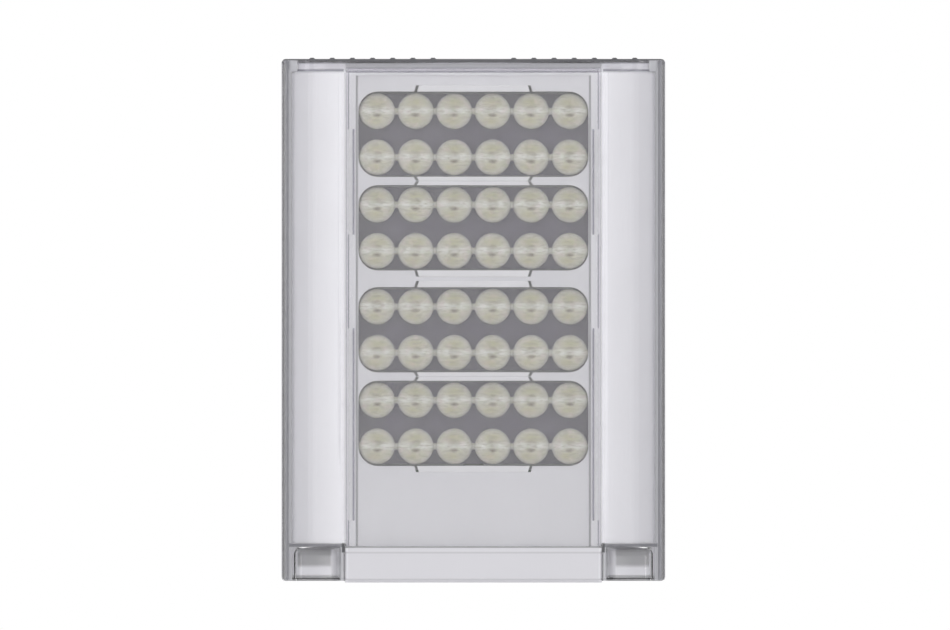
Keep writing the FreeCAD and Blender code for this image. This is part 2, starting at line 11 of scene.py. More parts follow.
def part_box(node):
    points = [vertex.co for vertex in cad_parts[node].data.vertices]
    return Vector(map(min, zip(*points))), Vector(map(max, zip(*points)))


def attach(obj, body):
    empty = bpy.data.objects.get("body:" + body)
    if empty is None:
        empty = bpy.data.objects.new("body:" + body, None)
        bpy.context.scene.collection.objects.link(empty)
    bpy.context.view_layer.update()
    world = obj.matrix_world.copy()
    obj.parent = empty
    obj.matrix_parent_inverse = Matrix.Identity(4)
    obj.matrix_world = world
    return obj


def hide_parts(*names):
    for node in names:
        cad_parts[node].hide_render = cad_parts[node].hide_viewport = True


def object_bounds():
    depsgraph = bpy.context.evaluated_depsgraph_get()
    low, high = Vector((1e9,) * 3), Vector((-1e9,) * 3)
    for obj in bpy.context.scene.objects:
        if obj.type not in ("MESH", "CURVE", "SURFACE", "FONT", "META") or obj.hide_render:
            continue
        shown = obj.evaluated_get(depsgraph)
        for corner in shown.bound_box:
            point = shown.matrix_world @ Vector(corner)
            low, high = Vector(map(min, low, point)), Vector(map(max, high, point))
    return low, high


bl_info = {
    "name": "LED wall light",
    "version": (1, 0, 0),
    "blender": (4, 5, 0),
    "location": "3D View > Sidebar > Wall Light",
    "description": "Clear cover, silver bezel, lenses and cast housing of an LED wall light",
    "category": "Add Mesh",
}

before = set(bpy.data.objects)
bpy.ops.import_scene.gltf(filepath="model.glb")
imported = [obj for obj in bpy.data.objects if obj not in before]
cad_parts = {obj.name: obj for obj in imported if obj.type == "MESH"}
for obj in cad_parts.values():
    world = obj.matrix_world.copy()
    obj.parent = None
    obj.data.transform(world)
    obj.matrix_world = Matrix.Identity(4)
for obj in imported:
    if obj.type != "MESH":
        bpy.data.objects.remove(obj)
CAD_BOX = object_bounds()


def each(node):
    """The node's names, one for each window."""
    return [f"{node}_{n}" for n in (1, 2, 3, 4)]


def middle_height(node):
    low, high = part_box(node)
    return (low.z + high.z) / 2


# Places and sizes on the light's front, in metres. Its middle is at x = 0 and z = 0.

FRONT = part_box("front_cover")[0].y
HALF_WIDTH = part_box("rear_housing")[1].x
WINDOW_HEIGHTS = [middle_height(node) for node in each("led_board")]
LENS_RADIUS = 0.0108
COVER_TOP, COVER_BOTTOM = 0.1555, -0.1559
BAND_BOTTOM = 0.1485
BAR_TOP, BAR_BOTTOM, BAR_HALF = -0.1355, -0.157, 0.0768
RIDGE, WING_EDGE = 0.0794, 0.1102
WING_BULGE, TOP_BOW = 0.0016, 0.0015
POCKET_TOP = -0.1342
GROOVE_TOP = 0.1462
RAIL = 0.0755
BEYOND = 0.2  # past the light's edges

# Where the rails for the sliding panel are open, and where lips cover them

FREE_HEIGHTS = ((-0.1352, -0.12), (-0.005, 0.051), (0.114, 0.1491))
LIP_HEIGHTS = ((-0.12, -0.005), (0.051, 0.114))

# The picture's size and the light's middle in it, in pixels

PICTURE_WIDTH, PICTURE_HEIGHT = 950, 630
MIDDLE_COLUMN, MIDDLE_ROW = 473.4, 319.9


def srgb(red, green, blue):
    """A linear colour from 0-255 display values."""
    values = [channel / 255 for channel in (red, green, blue)]
    return tuple(v / 12.92 if v <= 0.04045 else ((v + 0.055) / 1.055) ** 2.4 for v in values)


BLACK = srgb(36, 36, 38)


def colour_property(name, description, rgb):
    return FloatVectorProperty(
        name=name, description=description, subtype="COLOR", size=3, min=0.0, max=1.0,
        default=srgb(*rgb),
    )


class WallLightColours(bpy.types.PropertyGroup):
    bezel: colour_property("Bezel", "Silver paint of the front bezel", (214, 213, 219))
    cover: colour_property("Cover", "Tint of the clear cover", (255, 255, 255))
    insert: colour_property("Insert", "Tint of the sliding front panel", (255, 255, 255))
    pane: colour_property("Panes", "Tint of the diffusing window panes", (251, 251, 253))
    housing: colour_property("Housing", "Paint of the cast rear housing", (104, 104, 108))
    gasket: colour_property("Gasket", "Pale silicone under the cover", (216, 216, 219))
    rubber: colour_property("Rubber", "Cable seal", (34, 34, 36))
    lens: colour_property("Lenses", "Tint of the collimator lenses", (236, 232, 222))
    phosphor: colour_property("Phosphor", "Yellow of the unlit LEDs", (226, 196, 92))
    bare_metal: colour_property("Bare metal", "Unpainted inside of the housing", (176, 176, 180))
    bar: colour_property("Bar", "Milky plastic of the sliding panel's bar", (222, 221, 226))
    led_board: colour_property("LED boards", "Solder mask of the LED boards", (98, 86, 114))
    driver_board: colour_property("Driver board", "Solder mask of the driver board", (36, 84, 52))
    bracket: colour_property("Bracket", "Powder coat of the wall bracket", (128, 128, 134))
    backdrop: colour_property("Backdrop", "Background seen by the camera", (255, 255, 255))


class WallLightSizes(bpy.types.PropertyGroup):
    camera_distance: FloatProperty(
        name="Camera distance", description="From the camera to the front of the light",
        default=6.0, unit="LENGTH",
    )
    frame_width: FloatProperty(
        name="Frame width", description="Width that the picture shows at the front of the light",
        default=0.5676, unit="LENGTH",
    )
    cover_rounding: FloatProperty(
        name="Cover rounding", description="Radius along the clear cover's edges",
        default=0.0005, unit="LENGTH",
    )
    insert_rounding: FloatProperty(
        name="Panel rounding", description="Radius along the sliding panel's edges",
        default=0.0004, unit="LENGTH",
    )
    bezel_rounding: FloatProperty(
        name="Bezel rounding", description="Radius along the bezel's edges",
        default=0.0004, unit="LENGTH",
    )
    pane_roughness: FloatProperty(
        name="Pane roughness", description="How much the window panes blur what is behind them",
        default=0.14, min=0.0, max=1.0,
    )
    floor_drop: FloatProperty(
        name="Floor drop", description="From the light's lower edge down to the floor",
        default=0.30, unit="LENGTH",
    )


def sizes():
    return bpy.context.scene.wall_light_sizes


def colours():
    return bpy.context.scene.wall_light_colours


# Materials

class Finish:
    """A material with its shader at hand, and short calls for the nodes that feed it."""

    def __init__(self, name, colour, roughness, **constants):
        self.material = bpy.data.materials.new(name)
        self.material.use_nodes = True
        self.nodes = self.material.node_tree.nodes
        self.links = self.material.node_tree.links
        self.shader = self.nodes["Principled BSDF"]
        self.output = self.nodes["Material Output"]
        self.shader.inputs["Base Color"].default_value = (*colour, 1)
        self.shader.inputs["Roughness"].default_value = roughness
        for socket, value in constants.items():
            self.shader.inputs[socket.replace("_", " ")].default_value = value
        self.colour = colour

    def node(self, kind, inputs=None, **settings):
        node = self.nodes.new("ShaderNode" + kind)
        for key, value in settings.items():
            setattr(node, key, value)
        for key, value in (inputs or {}).items():
            if isinstance(value, bpy.types.NodeSocket):
                self.links.new(value, node.inputs[key])
            else:
                node.inputs[key].default_value = value
        return node

    def place(self, stretch=(1, 1, 1), turn=(0, 0, 0)):
        """Object coordinates, stretched and turned."""
        here = self.node("TexCoord").outputs["Object"]
        return self.node("Mapping", {"Vector": here, "Scale": stretch, "Rotation": turn}).outputs[0]

    def noise(self, scale, detail=3.0, stretch=(1, 1, 1), roughness=0.5):
        return self.node("TexNoise", {
            "Vector": self.place(stretch), "Scale": scale, "Detail": detail, "Roughness": roughness,
        }).outputs["Fac"]

    def tone(self, scale=9.0, detail=3.0, low=0.0, high=1.0):
        """Slow changes between two values, for a colour or a gloss."""
        return self.between(self.noise(scale, detail), 0.3, 0.7, low, high)

    def mottled(self, colour, spread, scale=9.0):
        """The colour, slightly darker and lighter from place to place."""
        return self.blend(self.tone(scale), shade(colour, 1 - spread), shade(colour, 1 + spread))

    def between(self, value, low, high, to_low, to_high):
        """The value, with one range carried over to another."""
        return self.node("MapRange", {
            "Value": value, "From Min": low, "From Max": high, "To Min": to_low, "To Max": to_high,
        }).outputs["Result"]

    def coordinate(self, axis):
        here = self.node("TexCoord").outputs["Object"]
        return self.node("SeparateXYZ", {"Vector": here}).outputs[axis]

    def distance_across(self):
        """How far a point is from the light's middle, to either side."""
        across = self.coordinate("X")
        return self.node("Math", {0: across}, operation="ABSOLUTE").outputs[0]

    def sum_up(self, operation, *values):
        """Several values put together two at a time, such as with MULTIPLY or MAXIMUM."""
        total = values[0]
        for value in values[1:]:
            total = self.node("Math", {0: total, 1: value}, operation=operation).outputs[0]
        return total

    def within(self, value, low, high, soft=0.0002):
        """1 where the value lies between two limits, else 0, with soft edges."""
        rise = self.between(value, low - soft, low + soft, 0.0, 1.0)
        fall = self.between(value, high - soft, high + soft, 1.0, 0.0)
        return self.sum_up("MULTIPLY", rise, fall)

    def blend(self, share, first, second):
        mix = self.node("Mix", data_type="RGBA")
        for key, value in (("Factor", share), ("A", first), ("B", second)):
            socket = next(s for s in mix.inputs if s.name == key and s.enabled)
            if isinstance(value, bpy.types.NodeSocket):
                self.links.new(value, socket)
            else:
                socket.default_value = (*value, 1) if isinstance(value, tuple) else value
        return next(s for s in mix.outputs if s.enabled)

    def shaded(self, coat, colour, *patches):
        """The coat, with the colour times a factor where each patch is 1."""
        for where, factor in patches:
            coat = self.blend(where, coat, shade(colour, factor))
        return coat

    def paint(self, colour_socket):
        self.links.new(colour_socket, self.shader.inputs["Base Color"])

    def gloss(self, socket):
        self.links.new(socket, self.shader.inputs["Roughness"])

    def relief(self, height, depth, strength=1.0):
        """Bump from a height socket. depth is how far a height of 1 stands out, in metres."""
        bump = self.node("Bump", {"Height": height, "Distance": depth, "Strength": strength})
        self.links.new(bump.outputs[0], self.shader.inputs["Normal"])


def shade(colour, factor):
    return tuple(min(1.0, channel * factor) for channel in colour)


def speckled(name, colour, roughness, grain, depth, spread=0.06, **constants):
    """A painted, moulded or rubber surface: fine grain, and slight changes of tone and gloss."""
    finish = Finish(name, colour, roughness, **constants)
    finish.paint(finish.mottled(colour, spread))
    finish.gloss(finish.tone(38.0, 4.0, roughness * 0.85, min(1.0, roughness * 1.15)))
    finish.relief(finish.noise(grain, 2.0), depth)
    return finish.material


def clear(name, tint, roughness, grain, depth, ior=1.49):
    """A clear moulding that lets lamps through, with the faint waviness of moulded plastic."""
    finish = Finish(name, tint, roughness, IOR=ior, Transmission_Weight=1.0)
    finish.relief(finish.noise(grain, 2.0), depth)
    through = finish.node("BsdfTransparent", {"Color": (*tint, 1)})
    path = finish.node("LightPath")
    mix = finish.node("MixShader", {
        0: path.outputs["Is Shadow Ray"], 1: finish.shader.outputs[0], 2: through.outputs[0],
    })
    finish.links.new(mix.outputs[0], finish.output.inputs["Surface"])
    return finish


def cover_material():
    """Clear plastic with painted shade: narrow bands in the gaps beside the sliding panel, under
    the rail lips and on the channel's top wall, a painted shadow under the top band, and a darker
    top edge. Its steep walls and top corners are cloudy and painted darker outwards, with painted
    shade in the pocket's top and a painted shadow at the bar's corner.
    """
    tint = tuple(colours().cover)
    finish = clear("clear_cover", tint, 0.05, 14.0, 0.00001)
    across, up = finish.distance_across(), finish.coordinate("Z")

    def patch(x_range, z_range, soft=0.0002):
        return finish.sum_up(
            "MULTIPLY", finish.within(across, *x_range, soft), finish.within(up, *z_range, soft)
        )

    middle, top, bottom, soft, softer = -0.01, 0.16, -0.16, 0.0003, 0.0006
    painted_shade_grey = srgb(222, 221, 226)
    # Painted shade: narrow grey bands in the gaps beside the sliding panel, under the rail lips'
    # edges and on the channel's top wall.
    gap_shade_lines = [patch((0.0741, 0.0752), heights) for heights in FREE_HEIGHTS]
    gap_shade_lines += [patch((0.0710, 0.0722), heights) for heights in LIP_HEIGHTS]
    gap_shade_lines.append(patch((middle, 0.0760), (0.1478, 0.1508)))
    colour = finish.blend(finish.sum_up("MAXIMUM", *gap_shade_lines), tint, painted_shade_grey)
    shadow_line = patch((0.0776, 0.1085), (0.1484, 0.1496))
    colour = finish.blend(shadow_line, colour, srgb(168, 168, 174))
    # Painted shade along the cover's top edge.
    colour = finish.blend(finish.within(up, 0.1530, top), colour, painted_shade_grey)

    sides = patch((0.1089, 0.1130), (bottom, top), softer)
    corners = patch((0.1052, 0.1130), (0.1484, top), softer)
    inner_side, outer_side = (
        patch(span, (bottom, POCKET_TOP), soft) for span in ((0.0776, RIDGE), (0.1086, 0.1104))
    )
    pocket_top_shade = patch((0.0776, 0.1104), (-0.1358, -0.1336), soft)
    bar_corner_shadow = patch((0.0769, 0.0786), (-0.1390, -0.1334), soft)
    walls = finish.sum_up(
        "MAXIMUM", sides, corners, inner_side, outer_side, pocket_top_shade, bar_corner_shadow
    )
    # Painted shade in the cloudy walls: darker outwards, darker still in the pocket's top, and a
    # dark painted shadow at the bar's corner.
    outward = finish.between(across, 0.1088, 0.1110, 0.0, 1.0)
    grey = finish.blend(outward, srgb(206, 206, 211), srgb(166, 166, 173))
    grey = finish.blend(pocket_top_shade, grey, srgb(138, 138, 144))
    grey = finish.blend(bar_corner_shadow, grey, srgb(84, 84, 88))
    finish.paint(finish.blend(walls, colour, grey))
    cloudy = finish.between(walls, 0.0, 1.0, 1.0, 0.35)
    finish.links.new(cloudy, finish.shader.inputs["Transmission Weight"])
    return finish.material


def dress(node, material):
    """Gives a CAD node its material."""
    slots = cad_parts[node].data.materials
    slots.clear()
    slots.append(material)


# Shapes. Outlines are (x, depth) or (x, z) in metres, depth counted back from the light's front.

def at(x, depth, z=0.0):
    return Vector((x, FRONT + depth, z))


def extrude(bm, faces, way):
    """Extrudes the faces and moves their copies. Returns the first of those."""
    made = bmesh.ops.extrude_face_region(bm, geom=faces)["geom"]
    moved = [v for v in made if isinstance(v, bmesh.types.BMVert)]
    bmesh.ops.translate(bm, verts=moved, vec=way)
    return next(f for f in made if isinstance(f, bmesh.types.BMFace))


def rounded(bm, geom, radius, segments, affect="EDGES"):
    bmesh.ops.bevel(
        bm, geom=geom, offset=radius, segments=segments, affect=affect, profile=0.5, material=-1
    )


def swept(corners, way):
    """A closed solid: the outline, extruded."""
    bm = bmesh.new()
    extrude(bm, [bm.faces.new([bm.verts.new(corner) for corner in corners])], way)
    bmesh.ops.recalc_face_normals(bm, faces=bm.faces)
    return bm


def rectangle(x0, x1, depth, z0, z1):
    return [at(x, depth, z) for x, z in ((x0, z0), (x1, z0), (x1, z1), (x0, z1))]


def box(x0, x1, depth0, depth1, z0, z1):
    return swept(rectangle(x0, x1, depth0, z0, z1), (0, depth1 - depth0, 0))


def rounded_plate(width, height, corner, depth0, depth1, z, segments=10):
    """A flat plate facing forwards, with rounded corners."""
    bm = bmesh.new()
    corners = rectangle(-width / 2, width / 2, depth0, z - height / 2, z + height / 2)
    bm.faces.new([bm.verts.new(c) for c in corners])
    rounded(bm, bm.verts[:], corner, segments, "VERTICES")
    extrude(bm, bm.faces[:], (0, depth1 - depth0, 0))
    bmesh.ops.recalc_face_normals(bm, faces=bm.faces)
    return bm


def mirrored_too(bm):
    """The solid and its mirror image across the middle, as one bmesh."""
    bmesh.ops.mirror(bm, geom=bm.verts[:] + bm.edges[:] + bm.faces[:], axis="X", merge_dist=-1.0)
    bmesh.ops.recalc_face_normals(bm, faces=bm.faces)
    return bm


def as_object(name, bm):
    mesh = bpy.data.meshes.new(name)
    bm.to_mesh(mesh)
    bm.free()
    piece = bpy.data.objects.new(name, mesh)
    bpy.context.scene.collection.objects.link(piece)
    return piece


def as_bmesh(piece):
    """The piece's shape. The piece itself goes."""
    bm = bmesh.new()
    bm.from_mesh(piece.data)
    bpy.data.objects.remove(piece)
    return bm


def apply_modifiers(piece):
    bpy.context.view_layer.update()
    shaped = piece.evaluated_get(bpy.context.evaluated_depsgraph_get())
    mesh = bpy.data.meshes.new_from_object(shaped)
    piece.modifiers.clear()
    old, piece.data = piece.data, mesh
    bpy.data.meshes.remove(old)


def combine(piece, operation, *tools):
    """Cuts the tools out of a piece, or joins them to it. The tools are closed bmeshes."""
    for bm in tools:
        tool = as_object("tool", bm)
        modifier = piece.modifiers.new("combine", "BOOLEAN")
        modifier.operation, modifier.solver, modifier.object = operation, "EXACT", tool
        apply_modifiers(piece)
        mesh = tool.data
        bpy.data.objects.remove(tool)
        bpy.data.meshes.remove(mesh)
        tidy_mesh(piece)
    return piece


def tidy_mesh(piece):
    """Merges the slivers that a cut leaves, so that edges round cleanly."""
    bm = bmesh.new()
    bm.from_mesh(piece.data)
    bmesh.ops.remove_doubles(bm, verts=bm.verts, dist=2e-5)
    bmesh.ops.dissolve_degenerate(bm, edges=bm.edges, dist=2e-5)
    bm.to_mesh(piece.data)
    bm.free()


def round_edges(piece, width, segments=3, angle=30.0):
    """Rounds the edges that turn by more than the angle, and shades flat faces flat."""
    modifier = piece.modifiers.new("round", "BEVEL")
    modifier.width, modifier.segments, modifier.profile = width, segments, 0.5
    modifier.limit_method, modifier.angle_limit = "ANGLE", math.radians(angle)
    apply_modifiers(piece)
    piece.data.shade_smooth()
    piece.data.set_sharp_from_angle(angle=math.radians(50))
    weighted = piece.modifiers.new("flat", "WEIGHTED_NORMAL")
    weighted.weight, weighted.keep_sharp = 100, True
    apply_modifiers(piece)


def softened(node, width, segments=2, angle=35.0):
    """A copy of a CAD node's mesh with its edges rounded."""
    bm = bmesh.new()
    bm.from_mesh(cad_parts[node].data)
    bmesh.ops.remove_doubles(bm, verts=bm.verts, dist=1e-6)
    bmesh.ops.dissolve_limit(bm, angle_limit=math.radians(0.3), verts=bm.verts, edges=bm.edges)
    bmesh.ops.recalc_face_normals(bm, faces=bm.faces)
    piece = as_object(f"{node}_finished", bm)
    round_edges(piece, width, segments, angle)
    return piece


def place(piece, body, slot, material, *nodes):
    """Gives a finished piece its material and its body, and hides the nodes it stands for. slot is
    not used.
    """
    piece.data.materials.clear()
    piece.data.materials.append(material)
    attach(piece, body)
    if nodes:
        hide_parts(*nodes)


# The front of the cover and of the bezel: half outlines from the middle to one side

def front_face(half, back, height):
    """A new bmesh with one level face: the half outline, its mirror image and a straight back."""
    bm = bmesh.new()
    outline = half + [(half[-1][0], back)]
    ring = [at(x, depth, height) for x, depth in outline]
    ring += [at(-x, depth, height) for x, depth in reversed(outline) if x > 0]
    face = bm.faces.new([bm.verts.new(corner) for corner in ring])
    bulge_wings(bm, half)
    return bm, face


def plain_solid(half, back, bottom, top):
    """A solid with the same outline from the bottom to the top."""
    bm, face = front_face(half, back, bottom)
    extrude(bm, [face], (0, 0, top - bottom))
    bmesh.ops.recalc_face_normals(bm, faces=bm.faces)
    return bm


def front_solid(half, back, bottom, band_moves, top):
    """A solid with the same outline from the bottom to the band along the top. Over the band, the
    front corners move back, as band_moves says for the middle and for the wing's edge."""
    bm, face = front_face(half, back, bottom)
    for height in (BAND_BOTTOM - bottom, top - BAND_BOTTOM):
        start = face
        face = extrude(bm, [start], (0, 0, height))
    bm.faces.remove(start)
    middle, outer = band_moves
    nearly = 1e-5
    for vert in face.verts:
        x = abs(vert.co.x)
        if vert.co.y < FRONT + half[-1][1] - nearly and x < WING_EDGE + nearly:
            share = max(0.0, (x - RIDGE) / (WING_EDGE - RIDGE))
            vert.co.y += middle + share * (outer - middle)
    bmesh.ops.recalc_face_normals(bm, faces=bm.faces)
    return bm


def above_bow():
    """What is cut away above the shallow dip along the top of the cover and of its gasket."""
    reach, steps, before, above = 1.02 * HALF_WIDTH, 24, -0.001, COVER_TOP + 0.01
    line = [reach * (2 * step / steps - 1) for step in range(steps + 1)]
    corners = [at(x, before, COVER_TOP - TOP_BOW * (1 - (x / HALF_WIDTH) ** 2)) for x in line]
    corners += [at(reach, before, above), at(-reach, before, above)]
    return swept(corners, (0, 0.03, 0))


def bulge_wings(bm, half):
    """Divides the wing's edge of an outline and curves it forwards."""
    on_wing = 0.09
    (x0, depth0), (x1, depth1) = next(
        pair for pair in zip(half, half[1:]) if pair[0][0] < on_wing < pair[1][0]
    )
    for side in (1, -1):
        ends = (at(side * x0, depth0).xy, at(side * x1, depth1).xy)
        edge = next(
            e for e in bm.edges
            if all(min((v.co.xy - point).length for point in ends) < 1e-6 for v in e.verts)
        )
        bmesh.ops.subdivide_edges(bm, edges=[edge], cuts=15)
    for vert in bm.verts:
        share = (abs(vert.co.x) - x0) / (x1 - x0)
        if 0 < share < 1 and vert.co.y < FRONT + max(depth0, depth1):
            vert.co.y -= WING_BULGE * 4 * share * (1 - share)


def pocket(grow):
    """One finger pocket's hollow: a block whose far end is narrower and lower."""
    lean, radius, low = 0.00495, 0.0022, COVER_BOTTOM - 0.001
    inner, outer, top = RIDGE - 0.0008 - grow, WING_EDGE - 0.0006 + grow, POCKET_TOP + grow
    bm = box(inner, outer, -0.001, 0.010 + grow, low, top)
    middle = (inner + outer) / 2
    far = [v for v in bm.verts if v.co.y > FRONT + 0.005]
    for vert in far:
        vert.co.x -= math.copysign(lean, vert.co.x - middle)
        if vert.co.z > (low + top) / 2:
            vert.co.z -= lean
    inner_edges = [
        e for e in bm.edges
        if any(v in far for v in e.verts) and any(v.co.z > low + 0.001 for v in e.verts)
    ]
    rounded(bm, inner_edges, radius + grow, 5)
    return mirrored_too(bm)


class WALLLIGHT_OT_cover(bpy.types.Operator):
    """Moulds the clear cover, with its channel, its rail lips and its finger pockets"""
    bl_idname = "wall_light.cover"
    bl_label = "Clear cover"

    def execute(self, context):
        outline = [
            (0.0, 0.0012), (0.074, 0.0012), (RIDGE, 0.0), (WING_EDGE, 0.0072),
            (0.1124, 0.0168), (0.1144, 0.0168),
        ]
        cover = as_object("clear_cover", front_solid(
            outline, 0.022, COVER_BOTTOM, (0.0085, 0.0033), COVER_TOP
        ))
        inside = [
            (0.0, 0.0037), (RAIL, 0.0027), (0.0797, 0.0025), (0.1086, 0.0098), (0.1108, 0.018),
        ]
        wall, play = 0.0015, 0.0003
        hollow = as_object("hollow", front_solid(
            inside, 0.023, COVER_BOTTOM + wall, (0.0055, 0.0015), COVER_TOP - 0.002
        ))
        walls_back, channel_back = 0.0081, 0.0056
        channel_walls = box(-0.0762, 0.0762, 0.0, walls_back, -BEYOND, BAND_BOTTOM + 0.0016)
        bar_walls = box(-0.0783, 0.0783, 0.0, walls_back, -BEYOND, BAR_TOP + wall)
        combine(hollow, "DIFFERENCE", channel_walls, bar_walls, pocket(wall))
        slot = BAR_HALF + play
        combine(
            cover, "DIFFERENCE",
            box(-0.075, 0.075, -0.001, channel_back, -BEYOND, BAND_BOTTOM),
            box(-slot, slot, -0.001, channel_back, -BEYOND, BAR_TOP + play),
            pocket(0.0), as_bmesh(hollow), above_bow(),
        )
        for low, high in LIP_HEIGHTS:
            lip = box(0.0713, 0.0756, 0.0013, 0.0027, low, high)
            combine(cover, "UNION", mirrored_too(lip))
        round_edges(cover, sizes().cover_rounding)
        place(cover, "lamp", "clear_plastic", cover_material(), "front_cover")
        return {"FINISHED"}


class WALLLIGHT_OT_insert(bpy.types.Operator):
    """Moulds the clear panel that slides in the cover, and its bar"""
    bl_idname = "wall_light.insert"
    bl_label = "Sliding panel"

    def execute(self, context):
        bevel, edge, back = 0.0024, 0.0018, 0.0053
        corners = [
            (edge, BAR_BOTTOM), (0.0, BAR_BOTTOM + edge), (0.0, BAR_TOP - 0.0036), (bevel, BAR_TOP),
            (back, BAR_TOP), (back, BAR_BOTTOM),
        ]
        corners = [at(-BAR_HALF, depth, z) for depth, z in corners]
        bar = as_object("panel_bar", swept(corners, (2 * BAR_HALF, 0, 0)))
        over, below = 0.001, -0.17
        for side in (1, -1):
            inner, outer = side * (BAR_HALF - edge), side * (BAR_HALF + over)
            wedge = [(inner, -over), (outer, edge + over), (outer, -over)]
            wedge = [at(x, depth, below) for x, depth in wedge]
            combine(bar, "DIFFERENCE", swept(wedge, (0, 0, 0.05)))
        round_edges(bar, sizes().insert_rounding)
        place(bar, "insert", "insert_plastic", bar_material(), "lens_insert")
        half, top = 0.0742, 0.1478
        panel = as_object("sliding_panel", box(-half, half, 0.003, back, BAR_TOP + 0.0001, top))
        round_edges(panel, sizes().insert_rounding)
        plastic = clear("clear_insert", tuple(colours().insert), 0.03, 12.0, 0.00003).material
        place(panel, "insert", "insert_plastic", plastic, "lens_insert")
        return {"FINISHED"}


def bar_material():
    """Milky plastic with a satin skin, with painted light at its ends and painted shade along its
    upper edges and its lower one.
    """
    milky = tuple(colours().bar)
    finish = Finish("milky_plastic", milky, 0.35, Transmission_Weight=0.12, IOR=1.49)
    across, up = finish.distance_across(), finish.coordinate("Z")
    # Painted light at the bar's ends; painted shade on its upper bevel, in the gap along its top
    # edge and along its lower edge.
    finish.paint(finish.shaded(
        finish.mottled(milky, 0.015, 11.0), milky,
        (finish.within(across, 0.0749, BAR_HALF), 1.12),
        (finish.within(up, BAR_TOP - 0.0040, BAR_TOP - 0.0031, 0.0004), 0.8),
        (finish.within(up, BAR_TOP - 0.0008, BAR_TOP + 0.001), 0.5),
        (finish.within(up, -0.1553, -0.1546, 0.0003), 0.82),
    ))
    finish.relief(finish.noise(900.0, 2.0), 0.000006)
    return finish.material


class WALLLIGHT_OT_bezel(bpy.types.Operator):
    """Moulds the silver bezel behind the cover, with its tray and its four windows"""
    bl_idname = "wall_light.bezel"
    bl_label = "Silver bezel"

    def execute(self, context):
        bottom, top, room, wall = -0.1528, 0.1478, 0.0021, 0.0019
        tray = 0.0087
        front = [
            (0.0, tray), (0.0765, tray), (0.0766, 0.0046), (0.0774, 0.0036), (0.0787, 0.0031),
            (0.1081, 0.0104), (WING_EDGE, 0.0168),
        ]
        bezel = as_object("silver_bezel", plain_solid(front, 0.023, bottom, top))
        inside = [
            (0.0, 0.0115), (0.0785, 0.0115), (0.0785, 0.0062), (0.0819, 0.005), (0.1062, 0.0122),
            (0.1083, 0.0168),
        ]
        hollow = as_object("hollow", plain_solid(inside, 0.024, bottom + wall, top - wall))
        behind_bar = box(-0.0808, 0.0808, 0.0, 0.0106, -BEYOND, BAR_TOP + room + wall)
        combine(hollow, "DIFFERENCE", pocket(room + wall), behind_bar)
        bar_room = box(-0.0789, 0.0789, 0.0, 0.00872, -BEYOND, BAR_TOP + room)
        combine(bezel, "DIFFERENCE", pocket(room), bar_room, as_bmesh(hollow))
        combine(bezel, "DIFFERENCE", box(-0.0696, 0.0696, 0.0, 0.0096, BAR_TOP, GROOVE_TOP))
        groove = box(0.0693, 0.0703, 0.0, 0.0108, BAR_TOP - 0.009, GROOVE_TOP)
        combine(bezel, "DIFFERENCE", mirrored_too(groove))
        skirt = [(0.0108, 0.1470), (0.0166, 0.1526), (0.0180, 0.1526), (0.0180, 0.1470)]
        skirt = [at(-0.1066, depth, z) for depth, z in skirt]
        combine(bezel, "UNION", swept(skirt, (0.2132, 0, 0)))
        for z in WINDOW_HEIGHTS:
            opening = rounded_plate(0.1376, 0.0511, 0.0117, 0.005, 0.02, z)
            combine(bezel, "DIFFERENCE", opening)
        for foot, tip in lug_spans():
            tall = abs(tip - foot) > (TALL_LUG + SHORT_LUG) / 2
            lean = 0.0010 if tall else 0.0016
            corners = [(0.0325 + lean, foot), (0.0344 + lean, foot), (0.0343, tip), (0.0325, tip)]
            slit = swept([at(x, tray - 0.0001, z) for x, z in corners], (0, 0.004, 0))
            combine(bezel, "DIFFERENCE", mirrored_too(slit))
        round_edges(bezel, sizes().bezel_rounding)
        place(bezel, "lamp", "silver_plastic", bezel_material(), "front_bezel")
        return {"FINISHED"}


def bezel_material():
    """Silver paint, with painted light in the tray, in the step beside it and on the ridges'
    highlight, and painted shade on the sloping skirt along the top, in the grooves beside the
    windows and in the finger pockets."""
    silver = tuple(colours().bezel)
    finish = Finish("silver_paint", silver, 0.42, Metallic=0.15)
    up, across = finish.coordinate("Z"), finish.distance_across()
    middle, margin, step, ridge_end = -0.01, 0.0690, 0.0778, 0.0803
    # Painted light: paler paint in the tray, in the shaded step beside it and along the ridges'
    # highlight.
    strips = [
        (finish.within(across, start, end, 0.0004), factor)
        for start, end, factor in (
            (middle, margin, 1.08), (margin, RAIL, 1.18), (RAIL, step, 1.32),
            (step, ridge_end, 1.07),
        )
    ]
    but_wings = finish.sum_up(
        "MAXIMUM", finish.within(across, middle, 0.0775, 0.0006),
        finish.within(across, 0.1048, 0.12, 0.0006),
    )
    # Painted shade on the sloping skirt along the top, except over the wings.
    skirt = finish.sum_up("MULTIPLY", finish.within(up, 0.1482, 0.16), but_wings)
    # Painted shade in the grooves beside the windows.
    groove = finish.sum_up(
        "MULTIPLY", finish.within(up, BAR_TOP, GROOVE_TOP),
        finish.within(across, 0.0692, 0.0702, 0.0005),
    )
    # Painted shade in the finger pockets.
    pocket_shade = finish.sum_up(
        "MULTIPLY", finish.within(up, -0.1474, -0.1340, 0.0012),
        finish.within(across, 0.0851, 0.1060, 0.0008),
    )
    finish.paint(finish.shaded(
        finish.mottled(silver, 0.015), silver, *strips, (skirt, 0.6), (groove, 0.6), (pocket_shade, 0.45)
    ))
    finish.gloss(finish.tone(38.0, 4.0, 0.38, 0.46))
    finish.relief(finish.noise(900.0, 2.0), 0.000006)
    return finish.material


TALL_LUG, SHORT_LUG = 0.0038, 0.0024


def lug_spans():
    """The height where each lug starts and where it ends, window by window. The two lugs between a
    pair's windows are shorter."""
    edge = 0.0254
    for index, z in enumerate(WINDOW_HEIGHTS):
        upper, lower = (TALL_LUG, SHORT_LUG) if index % 2 == 0 else (SHORT_LUG, TALL_LUG)
        yield z + edge, z + edge + upper
        yield z - edge, z - edge - lower


